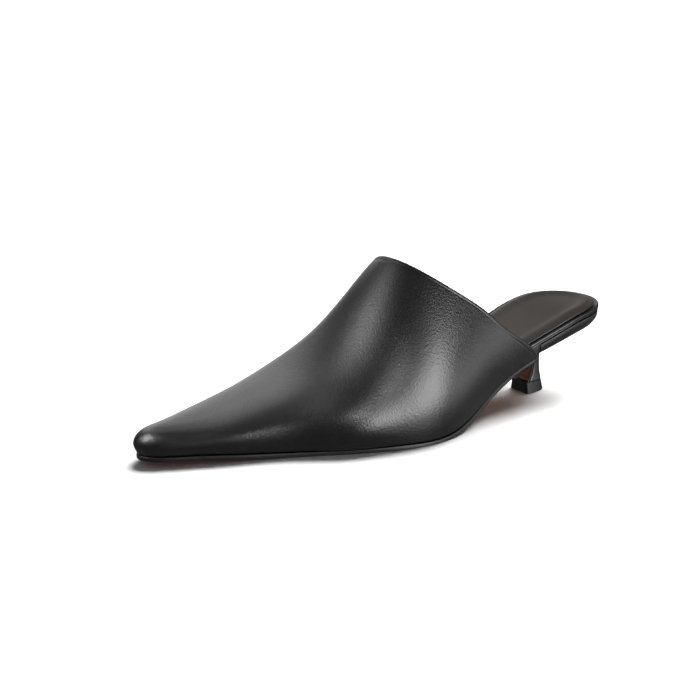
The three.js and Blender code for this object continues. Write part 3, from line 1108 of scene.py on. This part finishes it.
@dataclass
class Heel:
    """The kitten heel: flat across the breast, round at the back, waisted, and spread into the seat."""

    last: Last
    place: Place
    breast: float = 52.0
    rim: float = 2.6
    seat_tuck: float = 0.4
    top_piece: float = 6.0
    flare: float = 1.1
    flap: float = 1.6
    flap_shown: float = 0.7
    corner: float = 1.1
    corner_fades: float = 0.85
    corner_fade: tuple[float, float] = (0.5, 0.8)
    seat_round: float = 0.2
    seat_gap: float = 0.06
    foot_round: float = 0.25
    foot_corner: float = 1.2
    foot_bevel: float = 0.3
    flare_ends: tuple[float, float] = (0.1, 0.9)
    side_steps: int = 46
    corner_steps: int = 6
    ring_steps: int = 70
    front_steps: int = 8
    round_steps: int = 6
    bevel_steps: int = 4
    flare_steps: int = 8

    @cached_property
    def curves(self) -> dict[str, Curve]:
        """Curves of the heel's sections by name."""
        sizes = {"back": self.breast, "front": self.breast, "half": self.last.ball, "seat": 1.0}
        return {name: HEEL.curve(name, 1, size) for name, size in sizes.items()}

    def height(self, up: float, x: Array) -> Array:
        """Height of a section at x: level at the top piece and leaning with the seat at the top."""
        seat = self.last.footbed(x) - self.rim - self.seat_gap
        return lerp(self.top_piece + self.last.gap, seat, up)

    def width(self, up: float, x: Array, share: Array, side: Side) -> Array:
        """Half width of a section.

        Args:
            up: Height as a share from the top piece to the seat.
            x: Places along it.
            share: Those places as shares of the way from its breast to its back.
            side: Side of the heel.

        Returns:
            One half width for each place.
        """
        slim = self.curves["half"](up) * np.sqrt(np.clip(1 - share**2, 0, None))
        seat = np.clip(self.last.half(x, side) - self.seat_tuck, 0, None)
        return lerp(slim, seat, np.clip(self.curves["seat"](up), 0, 1))

    def steps(self, deep: float, radius: float) -> tuple[Array, Array]:
        """Steps of half a section from its breast to its back.

        Args:
            deep: Depth of the section.
            radius: Radius of its corners at the breast.

        Returns:
            Each step as a share of the depth, and how far the corner draws it in.
        """
        turn = np.linspace(0, math.pi / 2, self.corner_steps + 1)
        body = np.linspace(math.asin(min(1.0, radius / deep)), math.pi / 2, self.side_steps + 1)[1:]
        share = np.concatenate([radius * (1 - np.cos(turn)) / deep, np.sin(body)])
        return share, np.concatenate([radius * (1 - np.sin(turn)), np.zeros(len(body))])

    def closed(self, x: Array, widths: Sequence[Array]) -> Array:
        """A closed section in plan.

        Args:
            x: Places from its breast to its back.
            widths: Half widths there, on the left and on the right.

        Returns:
            Points all round, from the middle of the breast to the left.
        """
        across = np.linspace(0, 1, self.front_steps + 1)[:-1]
        halves = []
        for side, width in zip(Side, widths):
            y = np.clip(width, 0, None)
            y[-1] = 0
            face = np.stack([np.full_like(across, x[0]), across * y[0]], -1)
            halves.append(np.concatenate([face, np.stack([x, y], -1)]) * [1, side.value])
        return np.concatenate([halves[0], halves[1][-2:0:-1]])

    def ring(self, up: float, inset: float = 0.0) -> Array:
        """One section of the heel with rounded corners at the breast.

        Args:
            up: Height as a share from the top piece to the seat.
            inset: How far the whole section is drawn in.

        Returns:
            Points all round, from the middle of the breast to the left.
        """
        back, front = self.curves["back"](up) + inset, self.curves["front"](up) - inset
        radius = self.corner * (1 - self.corner_fades * smooth(np.float64(up), *self.corner_fade))
        share, draw = self.steps(front - back, radius)
        x = lerp(front, back, share)
        plan = self.closed(x, [self.width(up, x, share, side) - draw - inset for side in Side])
        return np.column_stack([plan, self.height(up, plan[:, 0])])

    def foot_ring(self, flare: float, inset: float, z: float) -> Array:
        """One level section of the top piece, in front of the heel's foot by the thickness of the flap.

        Args:
            flare: How far it spreads past the heel's foot.
            inset: How far its bevel draws it in.
            z: Its height.

        Returns:
            Points all round, from the middle of the breast to the left.
        """
        front = float(self.curves["front"](0.0)) + self.last.gap + self.flap
        back, half = (float(self.curves[name](0.0)) for name in ("back", "half"))
        share, draw = self.steps(front - back, self.foot_corner)
        width = (half + flare) * np.sqrt(np.clip(1 - share**2, 0, None)) - draw - inset
        plan = self.closed(lerp(front - inset, back - flare + inset, share), [width, width])
        return np.column_stack([plan, np.full(len(plan), z)])

    def add_rings(self, mesh: Mesh, rings: Sequence[Array]) -> None:
        """Adds a closed body from rings of points, with a flat grid over each end.

        Args:
            mesh: Mesh that gets it.
            rings: Rings from the bottom up.
        """
        lines = [mesh.add_points(ring) for ring in rings]
        for low, high in zip(lines, lines[1:]):
            mesh.add_band(np.append(low, low[0]), np.append(high, high[0]), Surface.EDGE)
        for line in (lines[0], lines[-1]):
            half = len(line) // 2
            left, right = line[1:half], line[:half:-1]
            mesh.add_faces(np.stack([left[:-1], left[1:], right[1:], right[:-1]], -1), Surface.TOP)
            front = [line[0], line[1], line[-1], line[0]]
            back = [line[half], line[half - 1], line[half + 1], line[half]]
            mesh.add_faces(np.array([front, back]), Surface.TOP)

    def make_cover(self, finish: bpy.types.Material) -> None:
        """Builds the covered heel block with its softened seat edge.

        Args:
            finish: Material of the cover.
        """
        front = self.curves["front"]
        tall = float(self.height(1.0, front(1.0)) - self.height(0.0, front(0.0)))
        turns = np.linspace(0, math.pi / 2, self.round_steps)
        rings = []
        for turn in turns[:-1]:
            inset = self.foot_round * (1 - math.sin(turn))
            rings.append(self.ring(self.foot_round * (1 - math.cos(turn)) / tall, inset))
        low, high = self.foot_round / tall, 1 - self.seat_round / tall
        rings += [self.ring(up) for up in np.linspace(low, high, self.ring_steps)]
        for turn in turns[1:]:
            inset = self.seat_round * (1 - math.cos(turn))
            rings.append(self.ring(high + self.seat_round * math.sin(turn) / tall, inset))
        mesh = Mesh()
        self.add_rings(mesh, rings)
        piece = build_piece("heel_cover", mesh, self.place, [finish], crease=45)
        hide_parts("heel")

    def make_top_piece(self, finish: bpy.types.Material) -> None:
        """Builds the rubber top piece, under the heel's foot and the end of the flap.

        Args:
            finish: Material of the rubber.
        """
        turns = np.linspace(0, math.pi / 2, self.bevel_steps)
        out = [self.foot_bevel * (1 - math.sin(turn)) for turn in turns]
        rise = [self.foot_bevel * (1 - math.cos(turn)) for turn in turns]
        rings = [self.foot_ring(self.flare, inset, z) for inset, z in zip(out, rise)]
        for share in np.linspace(*self.flare_ends, self.flare_steps):
            rings.append(self.foot_ring(self.flare * (1 - share), 0, share * self.top_piece))
        rings += [self.foot_ring(0, inset, self.top_piece - z) for inset, z in zip(rise, out)]
        mesh = Mesh()
        self.add_rings(mesh, rings)
        piece = build_piece("top_piece_rubber", mesh, self.place, [finish], crease=40)
        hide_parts("top_piece")


# The sole


@dataclass
class Outsole:
    """The leather sole: flat at the tread, up the arch, round the bend and down the heel's breast."""

    last: Last
    heel: Heel
    place: Place
    edge_out: float = 2.6
    arch_out: float = 0.5
    arch_ends: tuple[float, float] = (0.22, 0.5)
    bend: float = 6.0
    flap_top: float = 0.7
    bend_narrows: float = 0.1
    stations: int = 170
    bend_steps: int = 22
    flap_steps: int = 24
    rows: int = 25
    edge_round: float = 0.6
    round_steps: int = 4
    breast_step: float = 0.01

    def on_breast(self, up: float) -> tuple[Array, Array]:
        """A place on the flap's inner face, along and up the middle.

        Args:
            up: Height as a share from the top piece to the seat.

        Returns:
            A point in front of the breast and the direction away from it.
        """
        front = self.heel.curves["front"]
        heights = up, up + self.breast_step
        point, above = (np.array([front(share), self.heel.height(share, front(share))]) for share in heights)
        along = unit(above - point)
        away = np.array([along[1], -along[0]])
        return point + away * self.last.gap, away

    def flap_halves(self, up: float, inset: float) -> Array:
        """Half widths of the heel at its breast, drawn in."""
        front = self.heel.curves["front"](up)
        return np.array([float(self.heel.width(up, front, np.zeros(1), side)[0]) for side in Side]) - inset

    def lines(self, inset: float) -> tuple[Array, Array, Array, Array, Array]:
        """Stations of the upper face, drawn in at its edges.

        Args:
            inset: How far the edges are drawn in.

        Returns:
            Left ends, right ends, the level of each (not a number where it follows the last), the
            direction down from the face, and the thickness there.
        """
        last, heel = self.last, self.heel
        bend_x = heel.breast + self.bend
        share = 1 - np.cos(np.linspace(0, math.pi / 2, self.stations))
        x = lerp(last.length, bend_x, share)
        start_out, end_out = (share * last.length for share in self.arch_ends)
        out = lerp(self.arch_out, self.edge_out, smooth(x, start_out, end_out)) - inset
        left, right = (last.outline(x, side, out) for side in Side)
        step = last.slope_step
        slope = last.feather(x + step) - last.feather(x - step)
        down = unit(np.stack([slope, -np.ones_like(slope)], -1))
        level = np.full(len(x), np.nan)
        thick = np.full(len(x), last.sole)

        start = np.array([bend_x, float(last.feather(bend_x)) - last.gap])
        corner_x = heel.breast + last.gap
        corner = np.array([corner_x, float(last.feather(corner_x)) - last.gap])
        end, end_way = self.on_breast(self.flap_top)
        before, behind = np.array([left[-1, 1], -right[-1, 1]]), self.flap_halves(self.flap_top, inset)
        points, outs, halves, thicks = [], [], [], []
        for t in np.arange(1, self.bend_steps) / self.bend_steps:
            points.append(start * (1 - t) ** 2 + corner * 2 * t * (1 - t) + end * t * t)
            outs.append(unit(lerp(down[-1], end_way, t)))
            halves.append(lerp(before, behind, smooth(t, self.bend_narrows, 1)))
            thicks.append(lerp(last.sole, heel.flap_shown, t))
        for up in self.flap_top * (1 - np.arange(self.flap_steps + 1) / self.flap_steps):
            point, away = self.on_breast(up)
            points.append(point)
            outs.append(away)
            halves.append(self.flap_halves(up, inset))
            thicks.append(heel.flap_shown)
        points, outs, halves = np.array(points), np.array(outs), np.array(halves)
        points[-1, 1] += inset
        outs[-1] = [1, 0]
        left = np.concatenate([left, np.column_stack([points[:, 0], halves[:, 0]])])
        right = np.concatenate([right, np.column_stack([points[:, 0], -halves[:, 1]])])
        level = np.concatenate([level, points[:, 1]])
        return left, right, level, np.concatenate([down, outs]), np.concatenate([thick, thicks])

    def face(self, inset: float, depth: float) -> Array:
        """A grid parallel to the upper face.

        Args:
            inset: How far its edges are drawn in.
            depth: How deep it lies, as a share of the thickness.

        Returns:
            The points in rows from left to right.
        """
        left, right, level, down, thick = self.lines(inset)
        share = (1 - np.cos(np.linspace(0, math.pi, self.rows))) / 2
        plan = lerp(left[None], right[None], share[:, None, None])
        z = np.where(np.isnan(level), self.last.feather(plan[..., 0]) - self.last.gap, level)
        move = (thick * depth)[:, None] * down
        z = np.maximum(z + move[:, 1], 0)
        return np.stack([plan[..., 0] + move[:, 0], plan[..., 1], z], -1)

    def make(self, edge: bpy.types.Material, bend: bpy.types.Material) -> None:
        """Builds the sole and its flap.

        Args:
            edge: Material of the inked edge, also put on the top face, where it shows only through the seam
                under the upper as painted shade.
            bend: Material of the leather itself.
        """
        reach = self.edge_round / self.last.sole
        turns = np.linspace(0, math.pi / 2, self.round_steps + 1)
        steps = [(self.edge_round * (1 - math.sin(t)), reach * (1 - math.cos(t))) for t in turns[1:]]
        steps += [(self.edge_round * (1 - math.cos(t)), 1 - reach * (1 - math.sin(t))) for t in turns[:-1]]
        levels = [rim_points(self.face(inset, depth)) for inset, depth in steps]
        mesh = Mesh()
        mesh.close(self.face(self.edge_round, 0), levels, self.face(self.edge_round, 1))
        # The top face takes the black ink too, as painted shade in the seam under the upper; the underside
        # takes the brown bend.
        piece = build_piece("leather_sole", mesh, self.place, [edge, edge, bend], crease=40)
        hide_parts("outsole")


# The studio


def stand(thing: bpy.types.Object, azimuth: float, elevation: float, aim: Vector, distance: float) -> None:
    """Stands a lamp or the camera in the studio, facing the shoe.

    Args:
        thing: What stands there.
        azimuth: Its heading from the shoe in degrees: 90 is ahead of the toe, 180 the shoe's left.
        elevation: Its height in degrees over the horizon.
        aim: The point that it faces.
        distance: How far off it stands, in metres.
    """
    a, e = math.radians(azimuth), math.radians(elevation)
    back = Vector((math.sin(a) * math.cos(e), -math.cos(a) * math.cos(e), math.sin(e)))
    thing.location = aim + back * distance
    thing.rotation_euler = (-back).to_track_quat("-Z", "Y").to_euler()
    bpy.context.scene.collection.objects.link(thing)


def add_stage(
    name: str,
    points: Sequence[Sequence[float]],
    faces: Sequence[Sequence[int]],
    finish: bpy.types.Material,
) -> bpy.types.Object:
    """Adds a part of the studio, which isn't part of the shoe and takes no part in its gloss.

    Args:
        name: Name of the object.
        points: Its points in metres.
        faces: Its faces.
        finish: Its material.

    Returns:
        The object.
    """
    data = bpy.data.meshes.new(name)
    data.from_pydata(points, [], faces)
    data.materials.append(finish)
    stage = bpy.data.objects.new(name, data)
    bpy.context.scene.collection.objects.link(stage)
    stage.visible_glossy = stage.visible_shadow = False
    return stage


@dataclass(frozen=True)
class SoftBox:
    """A soft rectangular light that faces the shoe: degrees, metres and watts."""

    name: str
    azimuth: float
    elevation: float
    distance: float
    wide: float
    tall: float
    power: float
    aim_height: float = 0.03

    def make(self) -> None:
        """Adds the light, which only the shoe's gloss shows."""
        light = bpy.data.lights.new(self.name, "AREA")
        light.shape = "RECTANGLE"
        light.size, light.size_y = self.wide, self.tall
        light.energy = self.power
        lamp = bpy.data.objects.new(self.name, light)
        stand(lamp, self.azimuth, self.elevation, Vector((0, 0, self.aim_height)), self.distance)
        lamp.visible_camera = lamp.visible_diffuse = False


@dataclass
class Studio:
    """A pale floor, soft boxes and the camera at the photograph's angle."""

    place: Place
    azimuth: float = 147.0
    elevation: float = 16.44
    distance: float = 828.07
    focal_px: float = 1651.18
    centre_px: tuple[float, float] = (383.49, 379.72)
    picture_px: float = 700.0
    sensor_mm: float = 36.0
    clip: tuple[float, float] = (0.05, 100.0)
    target: tuple[float, float, float] = (131.0, 0.0, 20.0)
    floor_size: float = 30.0
    floor_colour: str = "#f4f4f4"
    floor_roughness: float = 0.9
    floor_specular: float = 0.1
    key_azimuth: float = 296.0
    key_elevation: float = 54.0
    key_power: float = 8.0
    key_spread: float = 50.0
    sweep_radius: float = 14.0
    sweep_height: float = 12.0
    sweep_sides: int = 64
    glow_below: float = 0.18
    glow_above: float = 0.12
    horizon: float = 0.1
    # The boxes below the horizon stand for the images of the others in a polished table. The floor takes
    # no part in the gloss and throws no shadow, so they light the leather through it.
    boxes: tuple[SoftBox, ...] = (
        SoftBox("heel_side_box", 201.0, 13.5, 1.1, 0.72, 0.9, 22.0),
        SoftBox("heel_side_table", 204.0, -22.0, 1.1, 0.5, 0.4, 1.2),
        SoftBox("heel_end_card", 242.0, -2.0, 1.1, 0.6, 0.5, 1.8),
        SoftBox("toe_box", 75.0, 35.0, 1.3, 1.6, 0.56, 3.0),
        SoftBox("nose_card", 83.8, 36.1, 0.334, 0.14, 0.14, 0.75),
        SoftBox("joint_card", 157.0, 33.0, 0.165, 0.026, 0.035, 0.052),
        SoftBox("instep_box", 76.0, 58.0, 1.2, 0.5, 0.35, 1.6),
        SoftBox("far_box", 357.0, 42.0, 1.5, 0.65, 1.2, 4.4),
        SoftBox("backdrop_card", 332.0, -6.0, 2.4, 1.7, 2.2, 12.0),
        SoftBox("top_box", 75.0, 70.0, 1.3, 0.8, 0.6, 0.8),
    )

    def make_key(self) -> None:
        """Adds the wide key light that whitens the floor; the boxes alone give the leather its highlights."""
        light = bpy.data.lights.new("key_light", "SUN")
        light.energy = self.key_power
        light.angle = math.radians(self.key_spread)
        lamp = bpy.data.objects.new("key_light", light)
        stand(lamp, self.key_azimuth, self.key_elevation, Vector(), 0.0)
        lamp.visible_glossy = False

    def make_floor(self) -> None:
        """Adds the pale floor of matt paper."""
        half = self.floor_size / 2
        material, tree = new_material("matt_studio_paper")
        paper = {
            "Base Color": linear(self.floor_colour),
            "Roughness": self.floor_roughness,
            "Specular IOR Level": self.floor_specular,
        }
        shader = add_node(tree, "ShaderNodeBsdfPrincipled", paper)
        add_node(tree, "ShaderNodeOutputMaterial", links={"Surface": shader.outputs["BSDF"]})
        corners = [(-half, -half, 0), (half, -half, 0), (half, half, 0), (-half, half, 0)]
        add_stage("studio_floor", corners, [(0, 1, 2, 3)], material)

    def make_sweep(self) -> None:
        """Adds the white cloth that hangs all round behind the floor and lights nothing."""
        turn = np.linspace(0, 2 * math.pi, self.sweep_sides, endpoint=False)
        ring = np.stack([np.cos(turn), np.sin(turn)], -1) * self.sweep_radius
        points = [np.column_stack([ring, np.full(len(ring), z)]) for z in (0.0, self.sweep_height)]
        first = np.arange(self.sweep_sides)
        after = np.roll(first, -1)
        faces = np.stack([first, after, after + self.sweep_sides, first + self.sweep_sides], -1)
        material, tree = new_material("lit_white_cloth")
        glow = add_node(tree, "ShaderNodeEmission", {"Color": linear("#ffffff")})
        add_node(tree, "ShaderNodeOutputMaterial", links={"Surface": glow.outputs["Emission"]})
        sweep = add_stage("studio_sweep", np.concatenate(points).tolist(), faces.tolist(), material)
        sweep.visible_diffuse = False

    def make_world(self) -> None:
        """Sets an even grey surround, a little lighter below the horizon, where the table is."""
        world = bpy.data.worlds.new("studio_surround")
        bpy.context.scene.world = world
        world.use_nodes = True
        tree = world.node_tree
        tree.nodes.clear()
        heading = add_node(tree, "ShaderNodeTexCoord").outputs["Generated"]
        parts = add_node(tree, "ShaderNodeSeparateXYZ", links={"Vector": heading})
        height = add_node(
            tree,
            "ShaderNodeMapRange",
            {
                "From Min": -self.horizon,
                "From Max": self.horizon,
                "To Min": self.glow_below,
                "To Max": self.glow_above,
            },
            {"Value": parts.outputs["Z"]},
        )
        white = {"Color": linear("#ffffff")}
        ground = add_node(tree, "ShaderNodeBackground", white, {"Strength": height.outputs["Result"]})
        add_node(tree, "ShaderNodeOutputWorld", links={"Surface": ground.outputs["Background"]})

    def make_camera(self) -> None:
        """Adds the camera where the photograph was taken from."""
        lens = bpy.data.cameras.new("photo_camera")
        lens.sensor_width = self.sensor_mm
        lens.lens = self.sensor_mm * self.focal_px / self.picture_px
        lens.shift_x = (self.picture_px / 2 - self.centre_px[0]) / self.picture_px
        lens.shift_y = (self.centre_px[1] - self.picture_px / 2) / self.picture_px
        lens.clip_start, lens.clip_end = self.clip
        camera = bpy.data.objects.new("photo_camera", lens)
        target = Vector(self.place.metres(np.array(self.target)))
        stand(camera, self.azimuth, self.elevation, target, self.distance * MM)
        bpy.context.scene.camera = camera

    def make(self) -> None:
        """Builds the whole studio."""
        self.make_key()
        self.make_floor()
        self.make_sweep()
        self.make_world()
        self.make_camera()
        for box in self.boxes:
            box.make()
        bpy.context.scene.view_settings.view_transform = "Standard"


def main() -> None:
    """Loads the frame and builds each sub-assembly in order."""
    logging.basicConfig(level=logging.INFO, format="%(name)s: %(message)s")
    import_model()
    last, place = Last(), Place.from_frame()
    calf = BLACK_CALF.make()
    Studio(place).make()
    upper = Upper(last, place)
    upper.make_calf(calf)
    upper.make_lining(LINING_GOAT.make())
    footbed = Footbed(last, place)
    footbed.make_footbed(calf)
    footbed.make_sock(SOCK_SHEEPSKIN.make())
    heel = Heel(last, place)
    heel.make_cover(calf)
    heel.make_top_piece(Rubber().make())
    Outsole(last, heel, place).make(INKED_EDGE_AND_SEAM_SHADE.make(), WAXED_BEND.make())
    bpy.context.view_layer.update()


if __name__ == "__main__":
    main()
